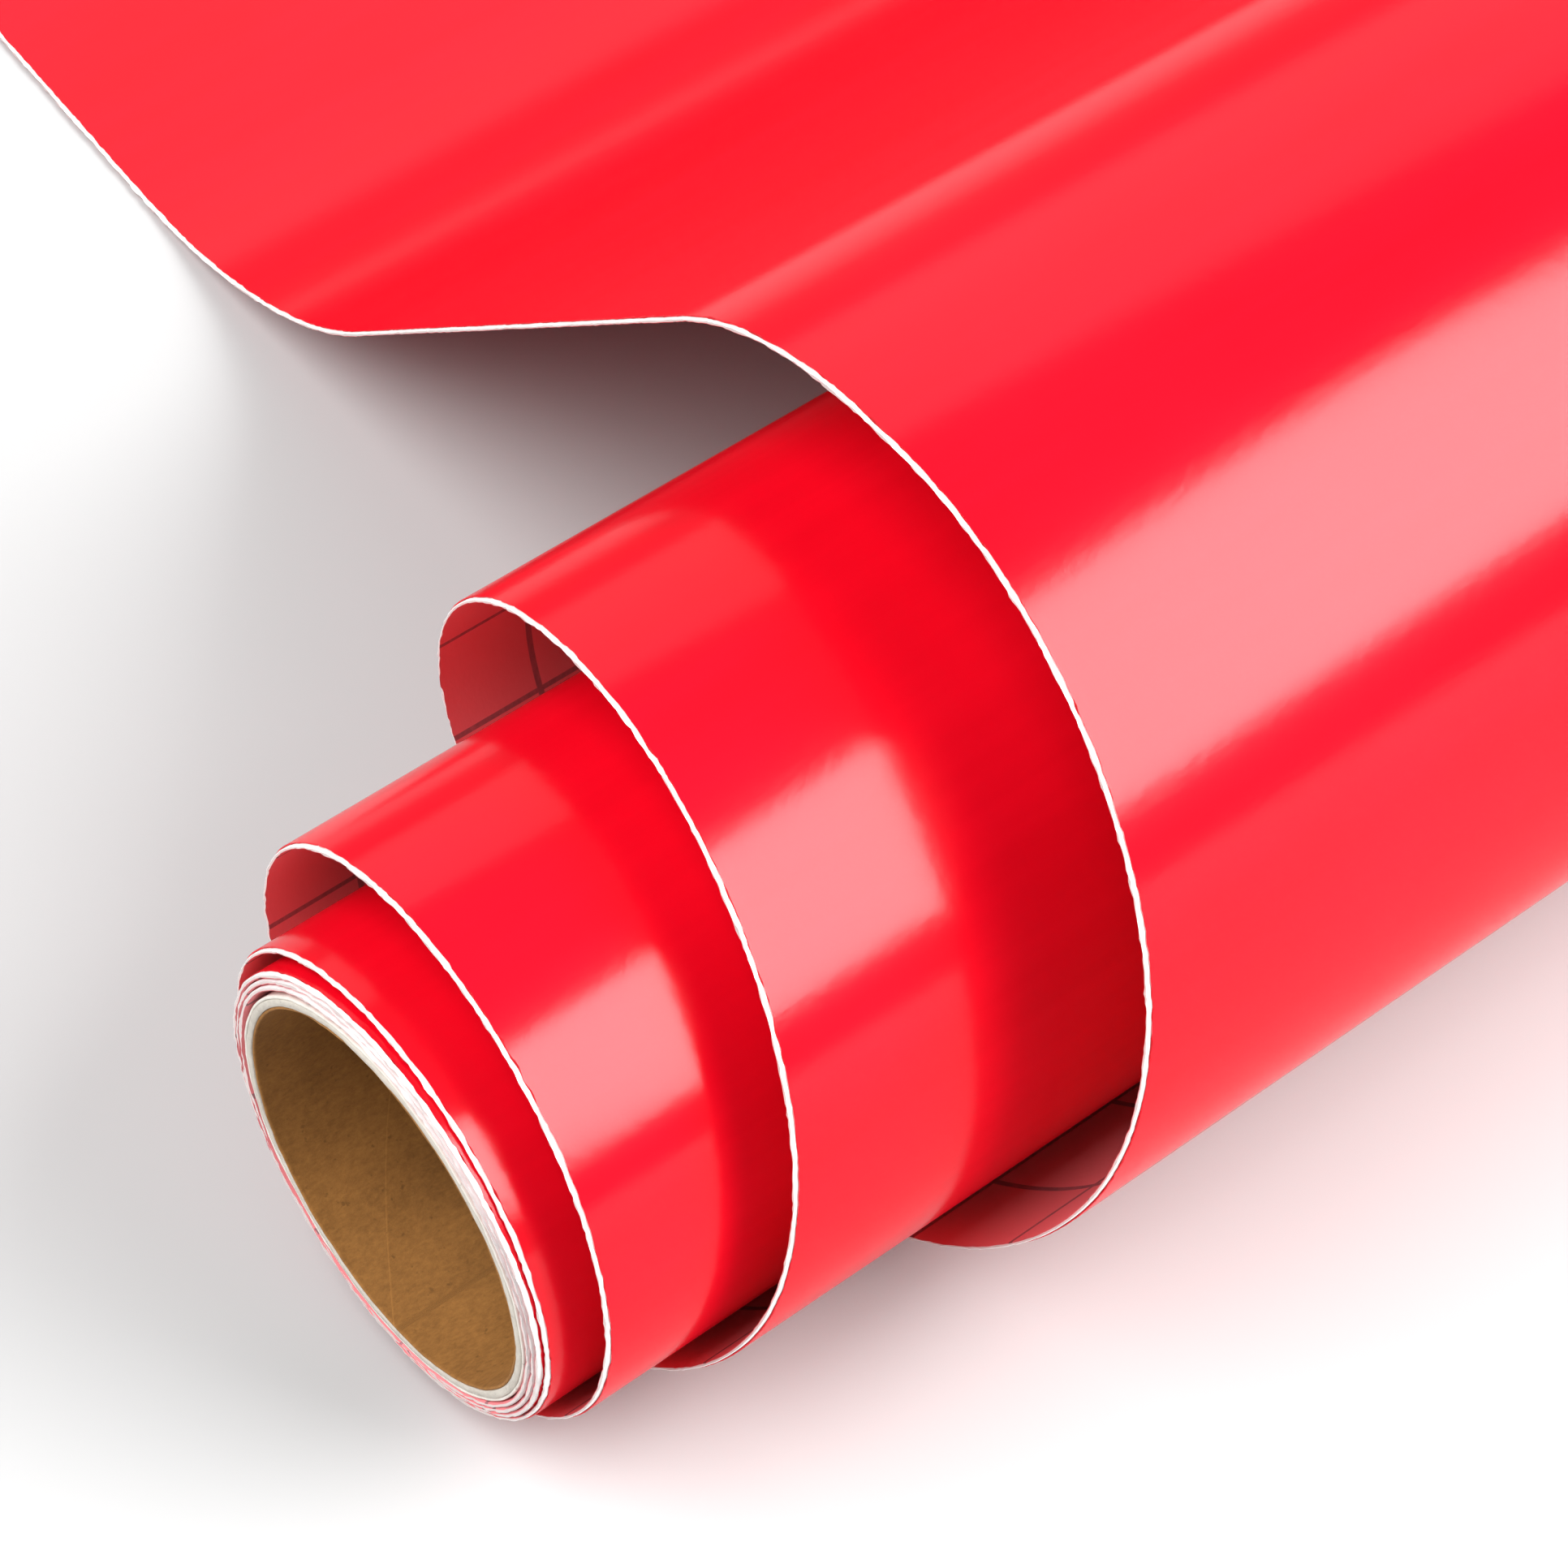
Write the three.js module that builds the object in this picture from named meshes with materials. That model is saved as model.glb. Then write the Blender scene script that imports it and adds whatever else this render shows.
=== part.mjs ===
// A loosened roll of self-adhesive sign vinyl on a paperboard core, in millimetres, +Z up.
// The core lies along X. One long sheet, red film on a white release liner, is wound round it:
// first tightly, then in four slack turns that stand one outside the other and further along X,
// and its free end leaves the top of the last turn, runs down behind the roll and lies on the table.
import * as THREE from "three";

// ---- the core ----
const CORE_BORE = 33;
const LINING_WALL = 0.25; // brown kraft paper inside
const BOARD_WALL = 0.65; // grey board, the strength of the tube
const WRAP_WALL = 0.25; // pale paper outside
const PLY_GAP = 0.02; // glue line between two plies of the tube
const CORE_SIDES = 48;

// ---- the sheet ----
const SHEET_WIDTH = 305;
const LINER = 0.3;
const GLUE = 0.03; // adhesive between liner and film
const FILM = 0.12;
const FILM_SET_BACK = 0.35; // bare liner left along each long edge of the film
const SHEET = LINER + GLUE + FILM;
const CUT_GAP = 0.3; // between two pieces of the sheet that follow one another

// ---- the winding ----
const TIGHT_TURNS = 3;
const AIR = 0.05; // between two tight turns
const START_GAP = 0.1; // between the core and the first turn
const FLOOR_STEP = 0.8; // each slack turn hangs this much lower than the one inside it
const STATIONS_PER_TURN = 48;
const LOOSE_TURNS = 3.5;
// One value for each half turn of the slack sheet, from the bottom of the first slack turn to the
// top of the last one: bottom, top, bottom and so on.
const SLACK = [0, 0.3, 2, 3.8, 4.9, 8.5, 13.3, 15.7]; // radius beyond that of a tight winding
const SHIFT = [0.3, 1.2, 2.5, 5.5, 10.5, 24.5, 34.8, 47.6]; // how far the sheet's edge stands along X
const SWAY = [0, 0, 0, -0.2, -0.4, -0.8, -1.2, -3.1]; // how far the turn's middle stands along Y

// ---- the free end ----
const CREST_ROUNDING = 1.27; // radius of its first bend, as a share of half the crest's height
const LEAF_SLOPE = THREE.MathUtils.degToRad(37.7); // steepest fall of the sheet behind the roll
const LEAF_BEND = 80; // radius in which it turns level again
const LEAF_FLAT = 60; // length that lies on the table
const LEAF_SKEW = 0.11; // sideways run of the sheet for each millimetre of its length
const LEAF_STEP = 5; // station spacing
const TAB_LENGTH = 25; // end of the film that is peeled first

// ---- the strip that starts the winding ----
const TAPE = 0.05;
const TAPE_WIDTH = 50;
const TAPE_STATIONS = 5;

// ---- what follows from these sizes ----
const CORE_WALL = LINING_WALL + BOARD_WALL + WRAP_WALL + 2 * PLY_GAP;
const CORE_RADIUS = CORE_BORE / 2 + CORE_WALL;
const PITCH = SHEET + AIR;
const FIRST_RADIUS = CORE_RADIUS + START_GAP; // inside face of the liner where the winding starts
const FLOORS = Math.floor(LOOSE_TURNS); // slack turns that lie below the core
const TIGHT_FLOOR = FLOORS * FLOOR_STEP; // lowest line of the tight winding's last turn
const CORE_HEIGHT = TIGHT_FLOOR + SHEET + FIRST_RADIUS + PITCH * TIGHT_TURNS;

const VINYL = { color: 0xf5101f, roughness: 0.18, metalness: 0 };
const RELEASE_PAPER = { color: 0xf2eceb, roughness: 0.8, metalness: 0 };
const KRAFT = { color: 0x9a7448, roughness: 0.9, metalness: 0 };
const GREY_BOARD = { color: 0xbdb6a8, roughness: 0.95, metalness: 0 };
const PALE_PAPER = { color: 0xd8d2c6, roughness: 0.9, metalness: 0 };
const TAPE_FILM = { color: 0xe8e2c8, roughness: 0.4, metalness: 0 };

// A smooth curve through equally spaced values; at is 0 on the first value, 1 on the second.
function through(values, at) {
  const last = values.length - 1;
  const here = Math.min(Math.max(Math.floor(at), 0), last - 1);
  const pick = (i) => values[Math.min(Math.max(i, 0), last)];
  const [a, b, c, d] = [pick(here - 1), pick(here), pick(here + 1), pick(here + 2)];
  const u = Math.min(Math.max(at - here, 0), 1);
  return (
    b +
    0.5 * u * (c - a + u * (2 * a - 5 * b + 4 * c - d + u * (3 * (b - c) + d - a)))
  );
}

// One point of the wound sheet. turn is 0 at the bottom of the first slack turn and grows outwards;
// from the bottom a turn runs forwards, over the top and down behind.
function woundPoint(turn) {
  const slack = turn > 0 ? through(SLACK, 2 * turn) : 0;
  const radius = FIRST_RADIUS + PITCH * (TIGHT_TURNS + turn) + slack;
  const floor = turn > 0 ? (FLOORS - turn) * FLOOR_STEP : TIGHT_FLOOR - PITCH * turn;
  const sway = turn > 0 ? through(SWAY, 2 * turn) : 0;
  const shift = turn > 0 ? through(SHIFT, 2 * turn) : SHIFT[0] * (1 + turn / TIGHT_TURNS);
  const angle = 2 * Math.PI * turn;
  return new THREE.Vector3(
    shift,
    sway - radius * Math.sin(angle),
    floor + SHEET + radius * (1 - Math.cos(angle)),
  );
}

// The sheet's path: the inside face of the liner, from the core to the free end, with the numbers of
// the stations where the sheet starts to turn level and where the tab of the film starts.
function sheetPath() {
  const path = [];
  const first = -TIGHT_TURNS * STATIONS_PER_TURN;
  const last = Math.round(LOOSE_TURNS * STATIONS_PER_TURN);
  for (let i = first; i <= last; i += 1) path.push(woundPoint(i / STATIONS_PER_TURN));

  const crest = path[path.length - 1];
  const crestRadius = (CREST_ROUNDING * (crest.z - SHEET)) / 2;
  let run = 0; // length of sheet laid since the crest
  // Lays a length of sheet; place gives how far along Y and how far down a point of it stands.
  function lay(length, place) {
    const from = path[path.length - 1];
    const steps = Math.ceil(length / LEAF_STEP);
    for (let i = 1; i <= steps; i += 1) {
      const [along, down] = place((length * i) / steps);
      const shift = crest.x + LEAF_SKEW * (run + (length * i) / steps);
      path.push(new THREE.Vector3(shift, from.y + along, from.z - down));
    }
    run += length;
    return path.length - 1;
  }
  const [sine, cosine] = [Math.sin(LEAF_SLOPE), Math.cos(LEAF_SLOPE)];
  const fall = crest.z - (crestRadius + LEAF_BEND) * (1 - cosine);
  lay(crestRadius * LEAF_SLOPE, (s) => [
    crestRadius * Math.sin(s / crestRadius),
    crestRadius * (1 - Math.cos(s / crestRadius)),
  ]);
  const bend = lay(fall / sine, (s) => [s * cosine, s * sine]);
  lay(LEAF_BEND * LEAF_SLOPE, (s) => [
    LEAF_BEND * (sine - Math.sin(LEAF_SLOPE - s / LEAF_BEND)),
    LEAF_BEND * (Math.cos(LEAF_SLOPE - s / LEAF_BEND) - cosine),
  ]);
  const tab = lay(LEAF_FLAT - TAB_LENGTH, (s) => [s, 0]);
  lay(TAB_LENGTH, (s) => [s, 0]);
  return { path, bend, tab };
}

// The way the sheet's face looks at each station, long enough that offsets keep their thickness.
function outwardAt(path, i) {
  const along = (from, to) =>
    new THREE.Vector2(to.y - from.y, to.z - from.z).normalize();
  const before = along(path[Math.max(i - 1, 0)], path[Math.max(i, 1)]);
  const after = along(
    path[Math.min(i, path.length - 2)],
    path[Math.min(i + 1, path.length - 1)],
  );
  const mean = before.clone().add(after).normalize();
  const outward = new THREE.Vector2(mean.y, -mean.x);
  return outward.multiplyScalar(-1 / mean.dot(after));
}

const { path: PATH, bend: BEND_START, tab: TAB_START } = sheetPath();
const OUTWARD = PATH.map((point, i) => outwardAt(PATH, i));

// A point of the path between two stations, with its outward direction. at need not be whole.
function stationAt(at) {
  const i = Math.min(Math.max(Math.floor(at), 0), PATH.length - 2);
  return {
    point: PATH[i].clone().lerp(PATH[i + 1], at - i),
    outward: OUTWARD[i].clone().lerp(OUTWARD[i + 1], at - i),
  };
}

// Moves a place on the path on by a length in mm.
function moved(at, length) {
  const i = Math.min(Math.max(Math.floor(length < 0 ? at - 1e-6 : at), 0), PATH.length - 2);
  const [a, b] = [PATH[i], PATH[i + 1]];
  return at + length / Math.hypot(b.y - a.y, b.z - a.z);
}

// A strip of the sheet between two places on the path. low and high are its faces' distances from
// the liner's inside face. near and far are the distances of its long edges from the sheet's near edge.
function strip(name, look, { from, to, low, high, near, far }) {
  const places = [from];
  for (let i = Math.floor(from) + 1; i < to - 1e-3; i += 1) {
    if (i > from + 1e-3) places.push(i);
  }
  places.push(to);
  const corners = [];
  for (const place of places) {
    const { point, outward } = stationAt(place);
    for (const [height, edge] of [[low, near], [high, near], [high, far], [low, far]]) {
      corners.push(
        point.x + edge,
        point.y + outward.x * height,
        point.z + outward.y * height,
      );
    }
  }
  const faces = [];
  for (let i = 0; i < places.length - 1; i += 1) {
    for (let side = 0; side < 4; side += 1) {
      const a = 4 * i + side;
      const b = 4 * i + ((side + 1) % 4);
      faces.push(a, b, a + 4, b, b + 4, a + 4);
    }
  }
  const end = 4 * (places.length - 1);
  faces.push(0, 2, 1, 0, 3, 2);
  faces.push(end, end + 1, end + 2, end, end + 2, end + 3);
  const geometry = new THREE.BufferGeometry();
  geometry.setAttribute("position", new THREE.Float32BufferAttribute(corners, 3));
  geometry.setIndex(faces);
  geometry.computeVertexNormals();
  return named(name, geometry, look);
}

function named(name, geometry, look) {
  const mesh = new THREE.Mesh(geometry, new THREE.MeshStandardMaterial(look));
  mesh.name = name;
  return mesh;
}

// One ply of the core: a tube along X whose near end is at X 0.
function ply(name, look, inside, wall) {
  const outline = [
    new THREE.Vector2(inside, 0),
    new THREE.Vector2(inside + wall, 0),
    new THREE.Vector2(inside + wall, SHEET_WIDTH),
    new THREE.Vector2(inside, SHEET_WIDTH),
    new THREE.Vector2(inside, 0),
  ];
  const tube = new THREE.LatheGeometry(outline, CORE_SIDES);
  tube.rotateZ(-Math.PI / 2);
  return named(name, tube, look);
}

function core() {
  const tube = new THREE.Group();
  const board = CORE_BORE / 2 + LINING_WALL + PLY_GAP;
  tube.add(ply("core_kraft_lining", KRAFT, CORE_BORE / 2, LINING_WALL));
  tube.add(ply("core_grey_board", GREY_BOARD, board, BOARD_WALL));
  tube.add(ply("core_outer_wrap", PALE_PAPER, board + BOARD_WALL + PLY_GAP, WRAP_WALL));
  tube.position.z = CORE_HEIGHT;
  return tube;
}

// The strip of tape that holds the sheet's first end on the core.
function startTape() {
  const low = -(START_GAP + TAPE) / 2;
  const near = (SHEET_WIDTH - TAPE_WIDTH) / 2;
  const place = { from: 0, to: TAPE_STATIONS, low, high: low + TAPE };
  return strip("start_tape", TAPE_FILM, { ...place, near, far: near + TAPE_WIDTH });
}

function liner(name, from, to) {
  const place = { from, to, low: 0, high: LINER };
  return strip(name, RELEASE_PAPER, { ...place, near: 0, far: SHEET_WIDTH });
}

function film(name, from, to) {
  const place = { from, to, low: LINER + GLUE, high: SHEET };
  const near = FILM_SET_BACK;
  return strip(name, VINYL, { ...place, near, far: SHEET_WIDTH - near });
}

// The sheet, cut where one turn goes over into the next, so that each turn can slide by itself.
function sheet() {
  const pieces = new THREE.Group();
  const firstLoose = TIGHT_TURNS * STATIONS_PER_TURN;
  const cuts = [0];
  const names = [];
  for (let turn = 1; turn <= TIGHT_TURNS; turn += 1) {
    cuts.push(turn * STATIONS_PER_TURN);
    names.push(`tight_${turn}`);
  }
  for (let turn = 1; turn <= FLOORS; turn += 1) {
    cuts.push(firstLoose + turn * STATIONS_PER_TURN);
    names.push(`slack_${turn}`);
  }
  cuts.push(BEND_START, PATH.length - 1);
  names.push(`slack_${FLOORS + 1}`, "leaf");
  names.forEach((name, i) => {
    const from = i > 0 ? moved(cuts[i], CUT_GAP / 2) : cuts[i];
    const isLeaf = name === "leaf";
    const to = isLeaf ? cuts[i + 1] : moved(cuts[i + 1], -CUT_GAP / 2);
    const filmEnd = isLeaf ? moved(TAB_START, -CUT_GAP / 2) : to;
    pieces.add(liner(`${name}_liner`, from, to));
    pieces.add(film(`${name}_film`, from, filmEnd));
  });
  const end = moved(PATH.length - 1, -FILM_SET_BACK);
  pieces.add(film("peel_tab_film", moved(TAB_START, CUT_GAP / 2), end));
  return pieces;
}

const roll = new THREE.Group();
roll.add(core(), startTape(), sheet());

// The origin is in the middle of the roll's outline, on the table.
const outline = new THREE.Box3().setFromObject(roll);
const middle = outline.getCenter(new THREE.Vector3());
roll.position.set(-middle.x, -middle.y, -outline.min.z);

export default roll;
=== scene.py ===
"""A loosened roll of red sign vinyl on its paperboard core, with one free end on the table.

The sheet is drawn finely along the same path as the CAD solids: wound tightly on the core, then in
slack turns that stand further and further along the core, then down behind the roll onto the table.
Sizes are in millimetres until a point goes into a mesh; the frame is in metres.
"""

import math

import bpy
import numpy as np
from mathutils import Matrix, Vector


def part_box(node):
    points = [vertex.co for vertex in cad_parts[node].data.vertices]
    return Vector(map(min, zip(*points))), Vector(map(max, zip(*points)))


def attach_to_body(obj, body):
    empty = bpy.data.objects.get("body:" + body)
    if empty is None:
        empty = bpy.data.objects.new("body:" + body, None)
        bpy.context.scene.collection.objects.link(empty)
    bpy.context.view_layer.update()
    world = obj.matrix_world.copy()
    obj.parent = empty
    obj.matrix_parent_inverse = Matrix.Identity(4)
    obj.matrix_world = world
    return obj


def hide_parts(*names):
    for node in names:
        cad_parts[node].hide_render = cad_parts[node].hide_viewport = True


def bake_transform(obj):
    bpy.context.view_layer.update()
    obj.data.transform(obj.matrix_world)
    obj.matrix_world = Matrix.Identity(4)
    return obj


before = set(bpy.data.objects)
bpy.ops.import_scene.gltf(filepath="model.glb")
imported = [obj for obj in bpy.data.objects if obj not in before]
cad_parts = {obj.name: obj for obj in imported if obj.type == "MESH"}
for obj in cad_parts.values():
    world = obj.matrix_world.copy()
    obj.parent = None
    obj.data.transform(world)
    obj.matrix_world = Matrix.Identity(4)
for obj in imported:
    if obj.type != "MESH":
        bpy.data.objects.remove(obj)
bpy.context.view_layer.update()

MM = 0.001

# ---- the core ----
CORE_BORE = 33.0
LINING_WALL = 0.25
BOARD_WALL = 0.65
WRAP_WALL = 0.25
PLY_GAP = 0.02

# ---- the sheet ----
SHEET_WIDTH = 305.0
LINER = 0.3
GLUE = 0.03
FILM = 0.12
SHEET = LINER + GLUE + FILM
FILM_SET_BACK = 0.35  # bare liner along each long edge
PRESSED_LINER = 0.38  # in the tight turns the liner's cut edge spreads and hides most of the film's
FILM_BED = 0.005  # the film is drawn down to this height above the liner
GRID = 12.7  # squares printed on the liner's back
GRID_OFFSET = 8.7  # from the near edge to the first line along the sheet
GRID_LINE = 0.55

# ---- the winding ----
TIGHT_TURNS = 3
AIR = 0.05
START_GAP = 0.1
FLOOR_STEP = 0.8
FLOORS = 3
LOOSE_TURNS = 3.5
BEHIND = 0.66  # share of a slack turn at which it is cut in two, low behind the roll
# One value for each half turn, from the bottom of the first slack turn to the top of the last.
SLACK = (0, 0.3, 2, 3.8, 4.9, 8.5, 13.3, 15.7)
SHIFT = (0.3, 1.2, 2.5, 5.5, 10.5, 24.5, 34.8, 47.6)
SWAY = (0, 0, 0, -0.2, -0.4, -0.8, -1.2, -3.1)
PITCH = SHEET + AIR
CORE_RADIUS = CORE_BORE / 2 + LINING_WALL + BOARD_WALL + WRAP_WALL + 2 * PLY_GAP
FIRST_RADIUS = CORE_RADIUS + START_GAP

# ---- the free end ----
CREST_ROUNDING = 1.27
LEAF_SLOPE = math.radians(37.7)
LEAF_BEND = 80.0
LEAF_FLAT = 60.0
LEAF_SKEW = 0.11
TAB_LENGTH = 25.0

# ---- how finely it is drawn ----
PATH_STEPS_PER_TURN = 1600
LEAF_PATH_STEP = 0.1
STATION_STEP = 0.45  # between two rows of vertices along the sheet
FEWEST_STEPS = 8
TANGENT_REACH = 0.4  # the path's direction is taken over this length to each side
NORMAL_REACH = 0.5  # and the face's over this one
EDGE_COLUMNS = (0.0, 0.05, 0.3, 1.2, 4.0, 12.0)  # vertices across the sheet, from each long edge
MIDDLE_COLUMNS = 9  # and between the last of these
TUBE_SIDES = 192
# Distances from the near end at which a ply of the core has a ring of vertices.
TUBE_STATIONS = (0.3, 1.0, 3.0, 8.0, 20.0, 45.0, 80.0, 120.0, 165.0, 210.0, 250.0, 280.0, 297.0, 304.0)

# ---- how uneven it is ----
NOISE_VALUES = 4096
# Size, height and seed of each part of the raggedness of a cut edge.
EDGE_ROUGHNESS = ((0.5, 0.065, 11), (1.1, 0.06, 12), (3.1, 0.025, 13), (12.0, 0.03, 14))
EDGE_FADE = 4.0  # from a long edge to where its raggedness ends
EDGE_ROUNDING = 0.25  # share of a layer's thickness by which its arrises stand back
DENT_LENGTH, DENT_WIDTH, DENT_HEIGHT, DENT_SLANT = 38.0, 95.0, 0.045, 0.12
SWELL_LENGTH, SWELL_HEIGHT, SWELL_ALONG, SWELL_ACROSS = 55.0, 0.03, 0.7, -0.3
RIPPLE_SEEDS = (31, 32, 33)
RIPPLE_FADE = 60.0  # length over which the ripple comes and goes
RIPPLE_PAST_BEND = 20.0  # it is gone this far past the place where the sheet starts to turn level
TUBE_RAGGEDNESS = ((0.8, 0.03), (3.0, 0.05))  # size and height
TUBE_RAGGED_ENDS = 0.5  # rings nearer to an end than this are ragged
TUBE_EVEN_JOIN = 3.0  # the raggedness is gone where a ring closes, and grows over this length
TUBE_ROUNDING = 0.08
LINER_SEED, FILM_SEED, PLY_SEED = 200, 300, 50
INNER_SEED, FAR_SEED = 3, 100  # added for a strip's inner face and for its far edge

# ---- how it moves, in metres ----
BODIES = ("core_and_tight_turns", "first_slack_turn", "second_slack_turn", "third_slack_turn", "last_turn")
TURN_BLEND_START = 0.0015  # above the bottom of a slack turn
TURN_BLEND_MARGIN = 0.001  # this far below the cut behind the roll

# ---- the camera, from the point under the near end of the core's axis, in metres ----
CAMERA_OFFSET = Vector((-0.11223, -0.19714, 0.30523))
CAMERA_AZIMUTH = math.radians(-37.66)
CAMERA_ELEVATION = math.radians(46.77)
CAMERA_ROLL = math.radians(-2.20)
CAMERA_LENS, CAMERA_SENSOR = 109.64, 36.0  # in millimetres

# ---- the studio, in metres ----
FLOOR_HALF_SIZE = 4.0
FLOOR_DROP = 0.0003  # below height 0, to clear the sheet's ripple
LIT_POINT = (0.06, 0.05)  # along X from the core's near end, and above the floor
WORLD_STRENGTH = 0.3

low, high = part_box("core_grey_board")
NEAR_END = Vector((low.x, (low.y + high.y) / 2, 0.0))  # under the middle of the core's near end
CORE_AXIS_HEIGHT = (low.z + high.z) / 2 / MM


# ---------------------------------------------------------------- the path of the sheet

def through(values, at):
    """A smooth curve through equally spaced values; at is 0 on the first, 1 on the second."""
    values = np.asarray(values, float)
    last = len(values) - 1
    at = np.asarray(at, float)
    here = np.clip(np.floor(at), 0, last - 1).astype(int)
    a, b, c, d = (values[np.clip(here + i, 0, last)] for i in (-1, 0, 1, 2))
    u = np.clip(at - here, 0, 1)
    return b + 0.5 * u * (c - a + u * (2 * a - 5 * b + 4 * c - d + u * (3 * (b - c) + d - a)))


def wound_points(turns):
    """Points of the liner's inside face. Turn 0 is the bottom of the first slack turn."""
    loose = turns > 0
    slack = np.where(loose, through(SLACK, 2 * turns), 0)
    radius = FIRST_RADIUS + PITCH * (TIGHT_TURNS + turns) + slack
    tight_floor = FLOORS * FLOOR_STEP
    floor = np.where(loose, (FLOORS - turns) * FLOOR_STEP, tight_floor - PITCH * turns)
    sway = np.where(loose, through(SWAY, 2 * turns), 0)
    shift = np.where(loose, through(SHIFT, 2 * turns), SHIFT[0] * (1 + turns / TIGHT_TURNS))
    angle = 2 * math.pi * turns
    y = sway - radius * np.sin(angle)
    z = floor + SHEET + radius * (1 - np.cos(angle))
    return np.stack([shift, y, z], axis=1)


def sheet_path():
    """Dense points of the sheet's path, the length up to each, and the lengths where it changes."""
    count = round((TIGHT_TURNS + LOOSE_TURNS) * PATH_STEPS_PER_TURN) + 1
    turns = np.linspace(-TIGHT_TURNS, LOOSE_TURNS, count)
    pieces = [wound_points(turns)]
    crest = pieces[0][-1].copy()
    crest_radius = CREST_ROUNDING * (crest[2] - SHEET) / 2
    sine, cosine = math.sin(LEAF_SLOPE), math.cos(LEAF_SLOPE)
    run = 0.0

    def lay(length, along, down):
        """Adds a length of sheet and returns the number of its last point."""
        nonlocal run
        start = pieces[-1][-1]
        s = np.linspace(0, length, max(2, round(length / LEAF_PATH_STEP)))[1:]
        x = crest[0] + LEAF_SKEW * (run + s)
        pieces.append(np.stack([x, start[1] + along(s), start[2] - down(s)], axis=1))
        run += length
        return sum(len(piece) for piece in pieces) - 1

    fall = crest[2] - (crest_radius + LEAF_BEND) * (1 - cosine)
    lay(
        crest_radius * LEAF_SLOPE,
        lambda s: crest_radius * np.sin(s / crest_radius),
        lambda s: crest_radius * (1 - np.cos(s / crest_radius)),
    )
    bend = lay(fall / sine, lambda s: s * cosine, lambda s: s * sine)
    lay(
        LEAF_BEND * LEAF_SLOPE,
        lambda s: LEAF_BEND * (sine - np.sin(LEAF_SLOPE - s / LEAF_BEND)),
        lambda s: LEAF_BEND * (np.cos(LEAF_SLOPE - s / LEAF_BEND) - cosine),
    )
    tab = lay(LEAF_FLAT - TAB_LENGTH, lambda s: s, lambda s: 0 * s)
    end = lay(TAB_LENGTH, lambda s: s, lambda s: 0 * s)
    points = np.concatenate(pieces)
    steps = np.hypot(*np.diff(points[:, 1:], axis=0).T)
    lengths = np.concatenate([[0], np.cumsum(steps)])
    marks = {"bend": lengths[bend], "tab": lengths[tab], "end": lengths[end]}
    for turn in range(FLOORS + 1):
        marks[f"turn {turn}"] = np.interp(turn, turns, lengths[:count])
    for turn in range(FLOORS):
        marks[f"behind {turn}"] = np.interp(turn + BEHIND, turns, lengths[:count])
    return points, lengths, marks


PATH, LENGTHS, MARKS = sheet_path()


def smooth_noise(size, seed):
    """A repeatable rough line: returns a function of length with values of about -1 to 1."""
    values = np.random.RandomState(seed).uniform(-1, 1, NOISE_VALUES)

    def at(s):
        where = np.asarray(s) / size
        i = np.floor(where).astype(int)
        u = where - i
        u = u * u * (3 - 2 * u)
        return values[i % NOISE_VALUES] * (1 - u) + values[(i + 1) % NOISE_VALUES] * u

    return at


def edge_wander(s, seed):
    """How far a cut edge of the sheet stands off its line, in mm."""
    return sum(height * smooth_noise(size, number + seed)(s) for size, height, number in EDGE_ROUGHNESS)


def ripple(s, across):
    """The slight unevenness of the sheet's face, in mm: dents, and longer slanting swells."""
    length_seed, width_seed, swell_seed = RIPPLE_SEEDS
    dents_along = smooth_noise(DENT_LENGTH, length_seed)(s + DENT_SLANT * across)
    dents_across = smooth_noise(DENT_WIDTH, width_seed)(across)
    swells = smooth_noise(SWELL_LENGTH, swell_seed)(SWELL_ALONG * s + SWELL_ACROSS * across)
    return DENT_HEIGHT * dents_along * dents_across + SWELL_HEIGHT * swells


def on_path(s, axes):
    return np.stack([np.interp(s, LENGTHS, PATH[:, i]) for i in axes], axis=-1)


def surface(s, across, height):
    """Points in metres, height above the liner's inside face, at length s and across from the edge."""
    point = on_path(s, range(3))
    tangent = on_path(s + TANGENT_REACH, (1, 2)) - on_path(s - TANGENT_REACH, (1, 2))
    tangent /= np.linalg.norm(tangent, axis=-1, keepdims=True)
    loose = np.clip((s - MARKS["turn 0"]) / RIPPLE_FADE, 0, 1)
    calm = np.clip((MARKS["bend"] + RIPPLE_PAST_BEND - s) / RIPPLE_FADE, 0, 1)
    lift = height + ripple(s, across) * loose * calm
    place = np.empty(point.shape)
    place[..., 0] = point[..., 0] + across
    place[..., 1] = point[..., 1] - tangent[..., 1] * lift
    place[..., 2] = point[..., 2] + tangent[..., 0] * lift
    return place * MM + np.array(NEAR_END)


# ---------------------------------------------------------------- meshes

def new_object(name, points, faces, material, loop_normals=None):
    mesh = bpy.data.meshes.new(name)
    mesh.from_pydata([tuple(p) for p in points], [], faces)
    mesh.materials.append(material)
    mesh.validate(clean_customdata=False)
    mesh.polygons.foreach_set("use_smooth", [True] * len(mesh.polygons))
    if loop_normals is not None:
        mesh.normals_split_custom_set([tuple(n) for n in loop_normals])
    mesh.update()
    made = bpy.data.objects.new(name, mesh)
    bpy.context.scene.collection.objects.link(made)
    return made


def store(piece, name, values):
    """Keeps a vector with each vertex, which the materials read as its place on the sheet or tube."""
    attribute = piece.data.attributes.new(name, "FLOAT_VECTOR", "POINT")
    attribute.data.foreach_set("vector", np.asarray(values, np.float32).ravel())


def columns(near, far):
    """Distances of a strip's vertices across the sheet: dense at both long edges."""
    edge = np.array(EDGE_COLUMNS)
    middle = np.linspace(near + edge[-1], far - edge[-1], MIDDLE_COLUMNS + 2)[1:-1]
    return np.concatenate([near + edge, middle, (far - edge)[::-1]])


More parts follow.
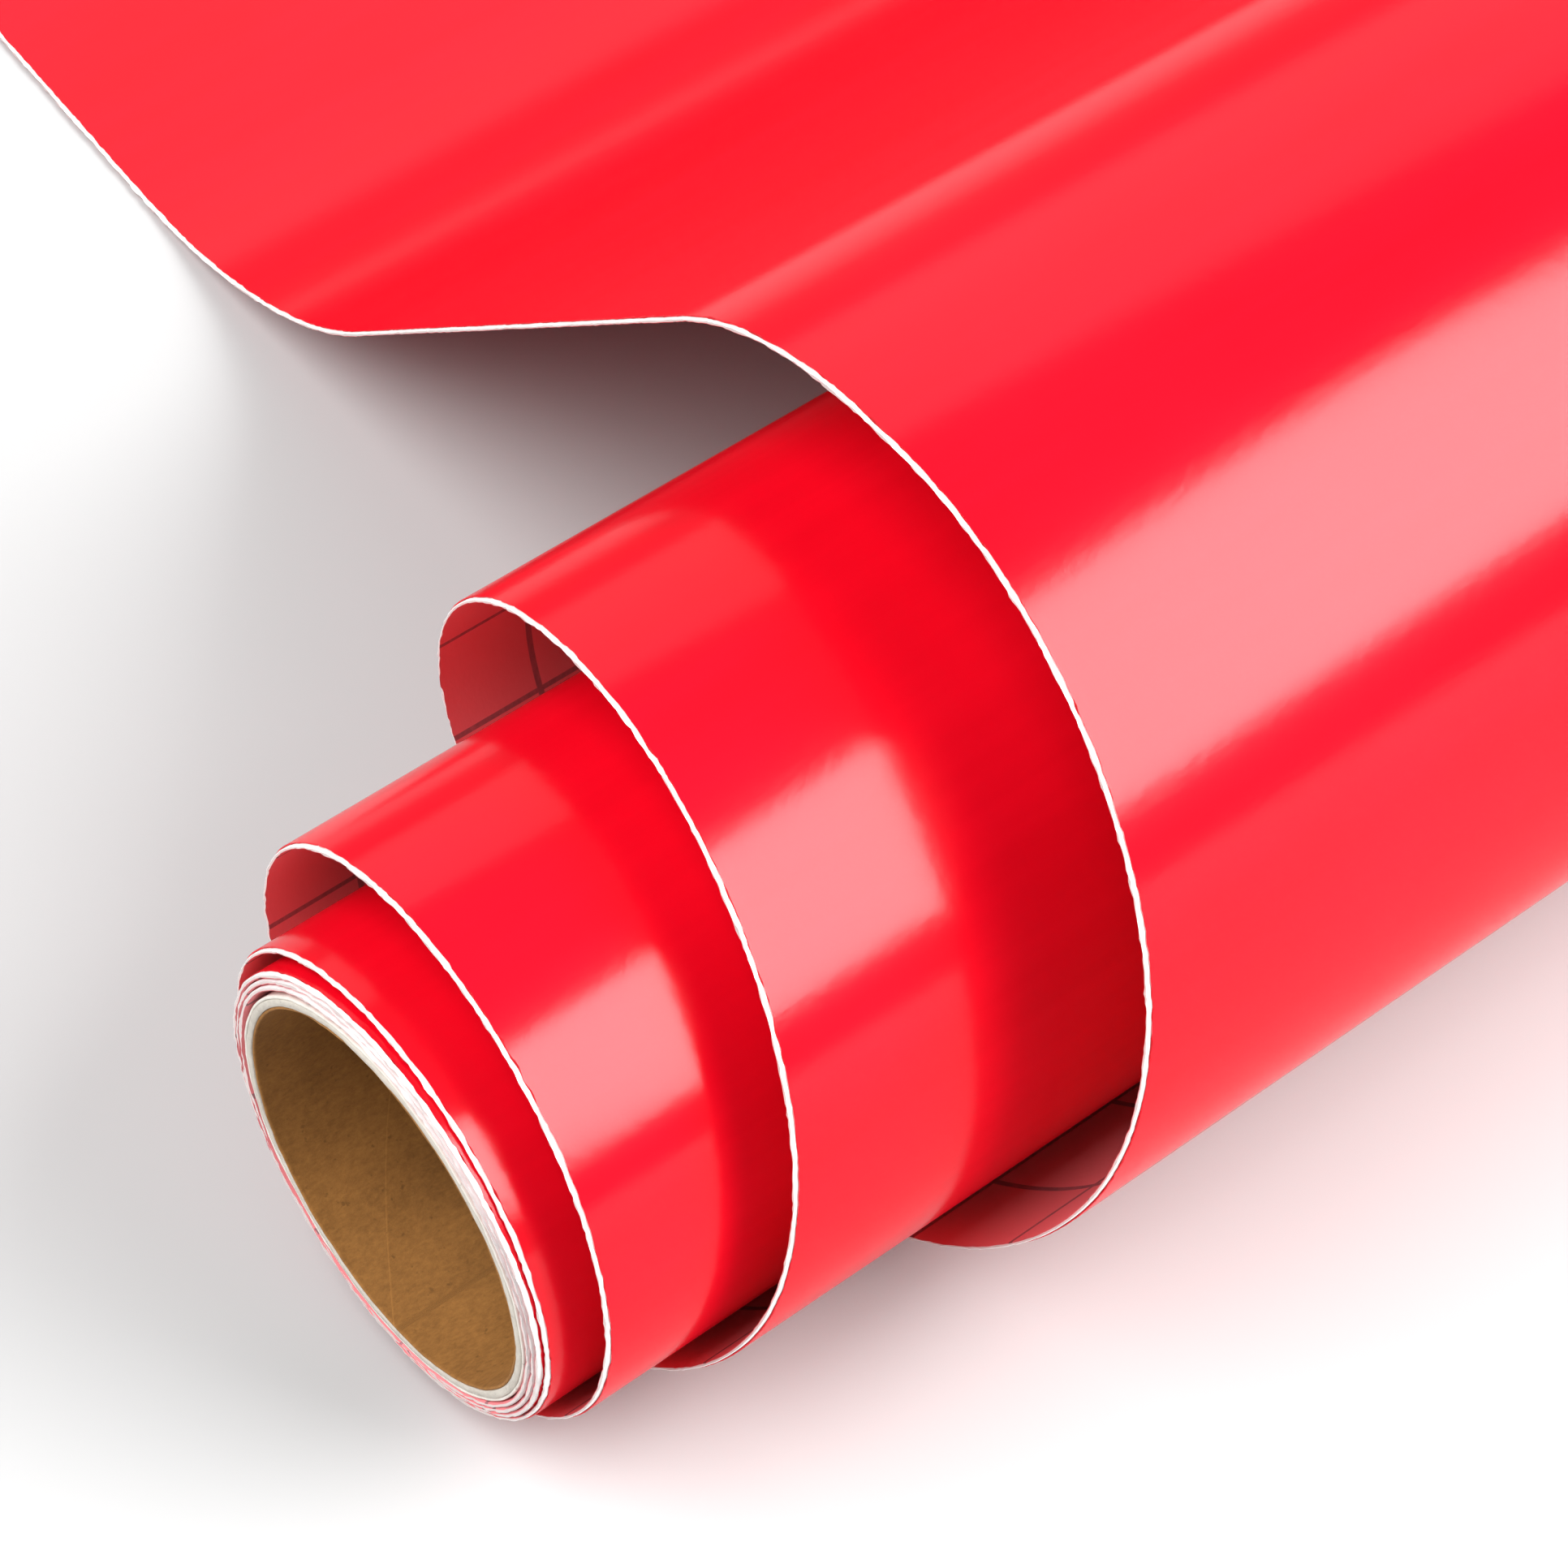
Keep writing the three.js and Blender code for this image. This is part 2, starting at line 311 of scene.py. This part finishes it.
def strip_face(s, across, near, far, height, rounding, seed):
    """Points of one face of a strip. Its long edges are ragged and stand back by rounding."""
    from_near = np.clip((across - near) / EDGE_FADE, 0, 1)
    from_far = np.clip((far - across) / EDGE_FADE, 0, 1)
    ragged = across + (1 - from_near) * edge_wander(s, seed)
    ragged = ragged + (1 - from_far) * edge_wander(s, seed + FAR_SEED)
    level = np.full_like(across, height)
    level[:, [0, -1]] -= rounding
    return surface(s, ragged, level)


def strip_quads(along, normal):
    """A strip's four-sided faces, and a normal for each of their corners."""
    count, width = along.shape[:2]
    upper = np.arange(count * width).reshape(count, width)
    lower = upper + count * width
    face_normals = normal.reshape(-1, 3)
    faces, normals = [], []

    def quads(corners, normal_of):
        rows = np.stack([corner.ravel() for corner in corners], axis=1)
        faces.extend(rows.tolist())
        normals.append(normal_of(rows.ravel()))

    def of_face(sign):
        return lambda rows: sign * face_normals[rows % (count * width)]

    def straight(direction):
        return lambda rows: np.tile(direction, (len(rows), 1))

    quads((upper[:-1, :-1], upper[:-1, 1:], upper[1:, 1:], upper[1:, :-1]), of_face(1))
    quads((lower[:-1, :-1], lower[1:, :-1], lower[1:, 1:], lower[:-1, 1:]), of_face(-1))
    quads((upper[:-1, 0], upper[1:, 0], lower[1:, 0], lower[:-1, 0]), straight((-1, 0, 0)))
    quads((upper[:-1, -1], lower[:-1, -1], lower[1:, -1], upper[1:, -1]), straight((1, 0, 0)))
    for row, sign in ((0, -1), (-1, 1)):
        tangent = along[row, width // 2] / np.linalg.norm(along[row, width // 2]) * sign
        a, b = upper[row, :-1], upper[row, 1:]
        c, d = lower[row, 1:], lower[row, :-1]
        quads((a, d, c, b) if row == 0 else (a, b, c, d), straight(tangent))
    return faces, np.concatenate(normals)


def strip(name, material, start, stop, bottom, top, near, far, seed):
    """A closed strip of the sheet between two lengths, two heights and two distances across it."""
    count = max(FEWEST_STEPS, round((stop - start) / STATION_STEP)) + 1
    s, across = np.meshgrid(np.linspace(start, stop, count), columns(near, far), indexing="ij")
    rounding = EDGE_ROUNDING * (top - bottom)
    outer = strip_face(s, across, near, far, top, rounding, seed)
    inner = strip_face(s, across, near, far, bottom, -rounding, seed + INNER_SEED)
    along = surface(s + NORMAL_REACH, across, top) - surface(s - NORMAL_REACH, across, top)
    over = surface(s, across + NORMAL_REACH, top) - surface(s, across - NORMAL_REACH, top)
    normal = np.cross(over, along)
    normal /= np.linalg.norm(normal, axis=-1, keepdims=True)
    faces, normals = strip_quads(along, normal)
    points = np.concatenate([outer.reshape(-1, 3), inner.reshape(-1, 3)])
    made = new_object(name, points, faces, material, normals)
    # Across and along the sheet in metres, and 1 on the outer face, 0 on the inner one.
    places = [np.stack([across * MM, s * MM, np.full_like(s, side)], axis=-1) for side in (1, 0)]
    store(made, "sheet_place", places)
    return made


# ---------------------------------------------------------------- materials

# The third number in a strip's sheet_place is 0 on its inner face, 1 on its outer one and between
# them on its cut edges.
INNER_FACE, OUTER_FACE = 0.05, 0.95
LINE_SOFTNESS = 0.08  # of a printed line, as a share of its width
SEAM_WIDTH, SEAM_RAMP = 0.3, 4.0  # the lining's helical seam, and the length of the rise past it


class Nodes:
    """Short calls for building a node material."""

    def __init__(self, name):
        self.material = bpy.data.materials.new(name)
        self.material.use_nodes = True
        self.tree = self.material.node_tree
        self.shader = self.tree.nodes["Principled BSDF"]

    def add(self, kind, **settings):
        node = self.tree.nodes.new("ShaderNode" + kind)
        for key, value in settings.items():
            setattr(node, key, value)
        return node

    def put(self, value, socket):
        """Links an output, or writes a constant, to a socket."""
        if isinstance(value, bpy.types.NodeSocket):
            self.tree.links.new(value, socket)
        else:
            socket.default_value = value

    def noise(self, place, scale, detail=3.0, rough=0.5):
        node = self.add("TexNoise")
        self.put(place, node.inputs["Vector"])
        node.inputs["Scale"].default_value = scale
        node.inputs["Detail"].default_value = detail
        node.inputs["Roughness"].default_value = rough
        return node.outputs["Fac"]

    def math(self, kind, a, b=0.0):
        node = self.add("Math", operation=kind)
        self.put(a, node.inputs[0])
        self.put(b, node.inputs[1])
        return node.outputs[0]

    def blend(self, a, b, share):
        """A sum of two values, in which b has that share."""
        return self.math("ADD", self.math("MULTIPLY", a, 1 - share), self.math("MULTIPLY", b, share))

    def spread(self, value, low, high, to_low=0.0, to_high=1.0):
        """Maps low..high to to_low..to_high, and stays inside those."""
        node = self.add("MapRange")
        self.put(value, node.inputs["Value"])
        node.inputs["From Min"].default_value = low
        node.inputs["From Max"].default_value = high
        node.inputs["To Min"].default_value = to_low
        node.inputs["To Max"].default_value = to_high
        return node.outputs["Result"]

    def mix(self, share, a, b):
        node = self.add("Mix", data_type="RGBA")
        self.put(share, node.inputs["Factor"])
        sockets = [i for i in node.inputs if i.type == "RGBA"]
        self.put(a, sockets[0])
        self.put(b, sockets[1])
        return [o for o in node.outputs if o.type == "RGBA"][0]

    def stretched(self, place, scale):
        node = self.add("Mapping")
        self.put(place, node.inputs["Vector"])
        node.inputs["Scale"].default_value = scale
        return node.outputs["Vector"]

    def attribute(self, name):
        return self.add("Attribute", attribute_name=name).outputs["Vector"]

    def split(self, place):
        node = self.add("SeparateXYZ")
        self.put(place, node.inputs[0])
        return node.outputs

    def object_place(self):
        return self.add("TexCoord").outputs["Object"]

    def bump(self, height, strength, distance):
        node = self.add("Bump")
        node.inputs["Strength"].default_value = strength
        node.inputs["Distance"].default_value = distance
        self.put(height, node.inputs["Height"])
        self.put(node.outputs["Normal"], self.shader.inputs["Normal"])
        return node.outputs["Normal"]

    def set(self, **values):
        for key, value in values.items():
            self.put(value, self.shader.inputs[key.replace("_", " ")])


def colour(red, green, blue):
    return (red, green, blue, 1.0)


def times(factor, rgba):
    return colour(*(factor * c for c in rgba[:3]))


def red_vinyl():
    """Gloss PVC film: even red, faint orange peel and streaks, and a duller side with the adhesive."""
    n = Nodes("red_vinyl")
    place = n.attribute("sheet_place")
    streaks = n.noise(n.stretched(place, (14.0, 220.0, 1.0)), 1.0, detail=4.0, rough=0.6)
    clouds = n.noise(place, 28.0)
    peel = n.noise(place, 900.0, detail=2.0, rough=0.55)
    grain = n.noise(place, 5200.0, detail=2.0, rough=0.6)
    tone = n.blend(streaks, clouds, 0.55)
    base = n.mix(n.spread(tone, 0.35, 0.65), colour(0.66, 0.0010, 0.0095), colour(0.76, 0.0018, 0.0135))
    sticky = n.math("LESS_THAN", n.split(place)[2], INNER_FACE)
    base = n.mix(sticky, base, colour(0.60, 0.035, 0.045))
    gloss = n.spread(tone, 0.3, 0.7, 0.17, 0.22)
    n.set(Base_Color=base, Roughness=n.math("ADD", gloss, n.math("MULTIPLY", sticky, 0.3)))
    n.set(IOR=1.08, Coat_Weight=0.13, Coat_Roughness=0.15, Coat_IOR=2.4)
    height = n.math("ADD", n.blend(peel, grain, 0.25), n.math("MULTIPLY", streaks, 0.8))
    relief = n.bump(height, strength=0.10, distance=0.00012)
    n.put(relief, n.shader.inputs["Coat Normal"])
    return n.material


def release_paper():
    """Coated white paper with frayed cut edges and a printed grid on its back. The back is painted red and
    the cut edges darker and pink: painted red light from the film, and painted shade.
    """
    n = Nodes("release_paper")
    place = n.attribute("sheet_place")
    across, along, side = n.split(place)

    def lines(position, offset):
        shifted = n.math("ADD", position, (GRID / 2 - offset) * MM)
        inside = n.math("SUBTRACT", n.math("FLOORED_MODULO", shifted, GRID * MM), GRID * MM / 2)
        distance = n.math("ABSOLUTE", inside)
        dark, gone = (GRID_LINE * MM * (0.5 + soft) for soft in (-LINE_SOFTNESS, LINE_SOFTNESS))
        return n.spread(distance, dark, gone, 1.0, 0.0)

    grid = n.math("MAXIMUM", lines(across, GRID_OFFSET), lines(along, 0.0))
    back = n.math("LESS_THAN", side, INNER_FACE)
    past_inner = n.math("GREATER_THAN", side, INNER_FACE)
    before_outer = n.math("LESS_THAN", side, OUTER_FACE)
    cut = n.math("MULTIPLY", past_inner, before_outer)
    fibres = n.noise(n.stretched(place, (1800.0, 700.0, 300.0)), 1.0, detail=4.0, rough=0.65)
    tone = n.blend(fibres, n.noise(place, 160.0), 0.5)
    paper = n.mix(n.spread(tone, 0.3, 0.7), colour(0.86, 0.83, 0.82), colour(0.95, 0.94, 0.93))
    # Painted red light: the white paper's back is tinted red to stand in for red light from the film inside
    # the turns.
    paper = n.mix(n.math("MULTIPLY", back, 0.85), paper, colour(0.98, 0.17, 0.20))
    # Cut edges: fibre streaks, painted darker and pink, which is painted shade and painted red light from
    # the film.
    paper = n.mix(cut, paper, n.mix(fibres, colour(0.62, 0.50, 0.48), colour(0.80, 0.71, 0.69)))
    worn = n.math("MULTIPLY", n.spread(fibres, 0.3, 0.6, 0.75, 1.0), grid)
    n.set(Base_Color=n.mix(n.math("MULTIPLY", worn, back), paper, colour(0.36, 0.16, 0.18)))
    n.set(Roughness=n.spread(tone, 0.3, 0.7, 0.5, 0.68), IOR=1.45)
    n.bump(fibres, strength=0.35, distance=0.00006)
    return n.material


def board_like(name, dark, light, rough, fibre_scale, relief, climb=0.0):
    """Paper or board on a tube along X: short fibres, clouds and specks, and a helical seam if the
    seam climbs, which gives how far it goes round for each unit of length."""
    n = Nodes(name)
    place = n.attribute("tube_place")
    fibres = n.noise(n.stretched(place, fibre_scale), 1.0, detail=5.0, rough=0.7)
    clouds = n.noise(place, 140.0, rough=0.55)
    specks = n.noise(place, 1500.0, detail=2.0)
    tone = n.blend(fibres, clouds, 0.4)
    base = n.mix(n.spread(tone, 0.32, 0.68), dark, light)
    base = n.mix(n.spread(specks, 0.66, 0.74, 0.0, 0.5), base, times(0.55, dark))
    height = fibres
    if climb:
        along, around, _ = n.split(place)
        helix = n.math("ADD", n.math("MULTIPLY", along, climb), around)
        past_seam = n.math("FLOORED_MODULO", helix, CORE_BORE * math.pi * MM)
        seam = n.spread(past_seam, 0.0, SEAM_WIDTH * MM, 1.0, 0.0)
        base = n.mix(n.math("MULTIPLY", seam, 0.35), base, times(1.5, light))
        step = n.spread(past_seam, 0.0, SEAM_RAMP * MM)
        height = n.math("ADD", fibres, n.math("MULTIPLY", step, 1.5))
    n.set(Base_Color=base, Roughness=n.spread(tone, 0.3, 0.7, rough - 0.06, rough + 0.06), IOR=1.4)
    n.bump(height, strength=0.5, distance=relief)
    return n.material


def kraft_paper():
    dark, light = colour(0.20, 0.084, 0.017), colour(0.38, 0.17, 0.040)
    return board_like("kraft_paper", dark, light, 0.82, (1500.0, 2600.0, 400.0), 0.00010, climb=1.6)


def grey_board():
    dark, light = colour(0.44, 0.40, 0.35), colour(0.64, 0.60, 0.53)
    return board_like("grey_board", dark, light, 0.9, (700.0, 900.0, 2600.0), 0.00015)


def pale_paper():
    dark, light = colour(0.62, 0.58, 0.52), colour(0.80, 0.77, 0.71)
    return board_like("pale_paper", dark, light, 0.85, (500.0, 700.0, 900.0), 0.0001)


def tape_film():
    """Thin yellowish tape."""
    n = Nodes("tape")
    haze = n.noise(n.object_place(), 300.0, detail=4.0)
    n.set(Base_Color=n.mix(haze, colour(0.72, 0.68, 0.5), colour(0.86, 0.83, 0.68)))
    n.set(Roughness=n.spread(haze, 0.3, 0.7, 0.28, 0.42))
    n.bump(haze, strength=0.2, distance=0.00005)
    return n.material


def floor_material():
    n = Nodes("floor")
    tone = n.noise(n.object_place(), 3.0, detail=2.0)
    n.set(Base_Color=n.mix(tone, colour(0.50, 0.50, 0.50), colour(0.52, 0.52, 0.52)))
    n.set(Roughness=0.9, IOR=1.2)
    return n.material


# ---------------------------------------------------------------- the core's three plies

def tube(name, material, inside, wall, seed, set_back):
    """A ply of the core. Its slightly ragged ends stand back from the core's ends by set_back."""
    rounding = min(TUBE_ROUNDING, wall / 4)
    outside, far = inside + wall, SHEET_WIDTH - set_back
    profile = [(inside + rounding, set_back), (inside, set_back + rounding)]
    profile += [(inside, x) for x in TUBE_STATIONS]
    profile += [(inside, far - rounding), (inside + rounding, far)]
    profile += [(outside - rounding, far), (outside, far - rounding)]
    profile += [(outside, x) for x in reversed(TUBE_STATIONS)]
    profile += [(outside, set_back + rounding), (outside - rounding, set_back)]
    angles = np.linspace(0, 2 * math.pi, TUBE_SIDES, endpoint=False)
    arc = angles * (inside + wall / 2)
    ragged = sum(
        height * smooth_noise(size, seed + i)(arc) for i, (size, height) in enumerate(TUBE_RAGGEDNESS)
    )
    ragged *= np.clip(np.minimum(arc, arc[-1] - arc) / TUBE_EVEN_JOIN, 0, 1)
    points, places = [], []
    for angle, wobble, length in zip(angles, ragged, arc):
        for radius, x in profile:
            at_near, at_far = x < set_back + TUBE_RAGGED_ENDS, x > far - TUBE_RAGGED_ENDS
            edge = at_near * wobble - at_far * wobble
            y, z = -radius * math.sin(angle), -radius * math.cos(angle) + CORE_AXIS_HEIGHT
            points.append(((x + edge) * MM + NEAR_END.x, y * MM + NEAR_END.y, z * MM))
            places.append((x * MM, length * MM, radius * MM))
    ring = len(profile)
    faces = []
    for i in range(TUBE_SIDES):
        j = (i + 1) % TUBE_SIDES
        for k in range(ring):
            m = (k + 1) % ring
            faces.append((i * ring + k, i * ring + m, j * ring + m, j * ring + k))
    made = new_object(name, points, faces, material)
    store(made, "tube_place", places)
    return made


def build_core():
    """The tube's three plies, and a material for the tape that starts the winding."""
    lining = CORE_BORE / 2
    board = lining + LINING_WALL + PLY_GAP
    wrap = board + BOARD_WALL + PLY_GAP
    plies = (
        ("core_lining_ply", "core_kraft_lining", "kraft_paper", kraft_paper(), lining, LINING_WALL, 0.06),
        ("core_board_ply", "core_grey_board", "grey_board", grey_board(), board, BOARD_WALL, 0.0),
        ("core_wrap_ply", "core_outer_wrap", "pale_paper", pale_paper(), wrap, WRAP_WALL, 0.03),
    )
    for number, (name, node, slot, material, inside, wall, set_back) in enumerate(plies):
        ply = tube(name, material, inside, wall, PLY_SEED + 10 * number, set_back)
        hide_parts(node)
        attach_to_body(ply, "core_and_tight_turns")
    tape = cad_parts["start_tape"].data.materials
    tape.clear()
    tape.append(tape_film())


# ---------------------------------------------------------------- the sheet

def film_strip(name, start, stop, bottom):
    near = FILM_SET_BACK
    return strip(name, VINYL, start, stop, bottom, SHEET, near, SHEET_WIDTH - near, FILM_SEED)


def pair(name, start, stop, nodes, attach, film_stop=None, liner_face=LINER):
    """Liner and film of one stretch of the sheet. attach is given each of the two pieces."""
    liner = strip(f"{name}_paper", PAPER, start, stop, 0.0, liner_face, 0.0, SHEET_WIDTH, LINER_SEED)
    film_end = stop if film_stop is None else film_stop
    film = film_strip(f"{name}_vinyl", start, film_end, liner_face + FILM_BED)
    for piece, suffix, slot in ((liner, "liner", "release_paper"), (film, "film", "red_vinyl")):
        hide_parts(*[f"{node}_{suffix}" for node in nodes])
        attach(piece)
    return liner, film


def riding(body):
    return lambda piece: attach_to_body(piece, body)


def blending():
    return lambda piece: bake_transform(piece)


def build_tight_turns():
    nodes = [f"tight_{i}" for i in range(1, TIGHT_TURNS + 1)]
    pair("tight_winding", 0.0, MARKS["turn 0"], nodes, riding(BODIES[0]), liner_face=PRESSED_LINER)


def height_at(mark):
    """Height of the liner's inside face there, in metres."""
    return float(surface(np.array([MARKS[mark]]), np.array([0.0]), 0.0)[0][2])


def build_slack_turns():
    """Each turn's front part, from its bottom to the cut behind the roll, is fixed in place; its back part
    follows the turn's own body.
    """
    for turn in range(FLOORS):
        inner, own = BODIES[turn], BODIES[turn + 1]
        name = f"slack_{turn + 1}"
        start, behind, stop = (MARKS[m] for m in (f"turn {turn}", f"behind {turn}", f"turn {turn + 1}"))
        foot = (0.0, NEAR_END.y, height_at(f"turn {turn}") + TURN_BLEND_START)
        top = (0.0, NEAR_END.y, height_at(f"behind {turn}") - TURN_BLEND_MARGIN)
        pair(f"{name}_front", start, behind, [name], blending())
        pair(f"{name}_back", behind, stop, [name], riding(own))


def build_last_turn():
    """The last turn, from its bottom over the crest to the bend, is fixed in place."""
    attach = blending()
    pair("slack_4", MARKS["turn 3"], MARKS["bend"], ["slack_4"], attach)


def build_leaf():
    """The level free end, fixed in place, and the tab of film at its end, drawn flat on the liner as a
    piece of its own.
    """
    attach = blending()
    liner, film = pair("leaf", MARKS["bend"], MARKS["end"], ["leaf"], attach, MARKS["tab"])
    tab = film_strip("peel_tab_vinyl", MARKS["tab"], MARKS["end"] - FILM_SET_BACK, LINER + FILM_BED)
    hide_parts("peel_tab_film")
    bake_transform(tab)


# ---------------------------------------------------------------- camera, floor and lights

def toward(azimuth, elevation):
    """A direction, in radians: azimuth 0 is in front, along -Y, and a quarter turn is along +X."""
    level = math.cos(elevation)
    return Vector((math.sin(azimuth) * level, -math.cos(azimuth) * level, math.sin(elevation)))


def build_camera():
    data = bpy.data.cameras.new("camera")
    data.sensor_width = CAMERA_SENSOR
    data.lens = CAMERA_LENS
    data.clip_start = 0.01
    data.clip_end = 50.0
    back = toward(CAMERA_AZIMUTH, CAMERA_ELEVATION)
    level = Vector((math.cos(CAMERA_AZIMUTH), math.sin(CAMERA_AZIMUTH), 0.0))
    right = math.cos(CAMERA_ROLL) * level + math.sin(CAMERA_ROLL) * back.cross(level)
    camera = bpy.data.objects.new("camera", data)
    axes = Matrix((right, back.cross(right), back)).transposed().to_4x4()
    camera.matrix_world = Matrix.Translation(NEAR_END + CAMERA_OFFSET) @ axes
    bpy.context.scene.collection.objects.link(camera)
    bpy.context.scene.camera = camera


def build_floor():
    size = FLOOR_HALF_SIZE
    corners = [(x, y, -FLOOR_DROP) for x, y in ((-size, -size), (size, -size), (size, size), (-size, size))]
    floor = new_object("floor", corners, [(0, 1, 2, 3)], floor_material())


def softbox(name, azimuth, elevation, distance, width, height, radiance):
    """A rectangular light, seen from the roll in that direction, given in degrees."""
    direction = toward(math.radians(azimuth), math.radians(elevation))
    data = bpy.data.lights.new(name, "AREA")
    data.shape = "RECTANGLE"
    data.size = width
    data.size_y = height
    data.energy = radiance * math.pi * width * height
    lamp = bpy.data.objects.new(name, data)
    lit = Vector((NEAR_END.x + LIT_POINT[0], NEAR_END.y, LIT_POINT[1]))
    lamp.location = lit + direction * distance
    lamp.rotation_euler = direction.to_track_quat("Z", "Y").to_euler()
    bpy.context.scene.collection.objects.link(lamp)


def build_lights():
    """A broad key light that the film mirrors, a dim one behind, and a fill that it doesn't mirror."""
    softbox("key", azimuth=38, elevation=36.5, distance=1.1, width=0.8, height=0.87, radiance=12.0)
    softbox("behind", azimuth=143, elevation=31, distance=1.2, width=1.0, height=0.75, radiance=0.9)
    softbox("left", azimuth=-105, elevation=55, distance=1.5, width=1.5, height=1.4, radiance=5.0)
    world = bpy.data.worlds.new("studio")
    world.use_nodes = True
    background = world.node_tree.nodes["Background"]
    background.inputs["Color"].default_value = colour(1.0, 1.0, 1.0)
    background.inputs["Strength"].default_value = WORLD_STRENGTH
    bpy.context.scene.world = world


VINYL = red_vinyl()
PAPER = release_paper()
bpy.context.scene.view_settings.view_transform = "Standard"
build_camera()
build_floor()
build_lights()
build_core()
build_tight_turns()
build_slack_turns()
build_last_turn()
build_leaf()
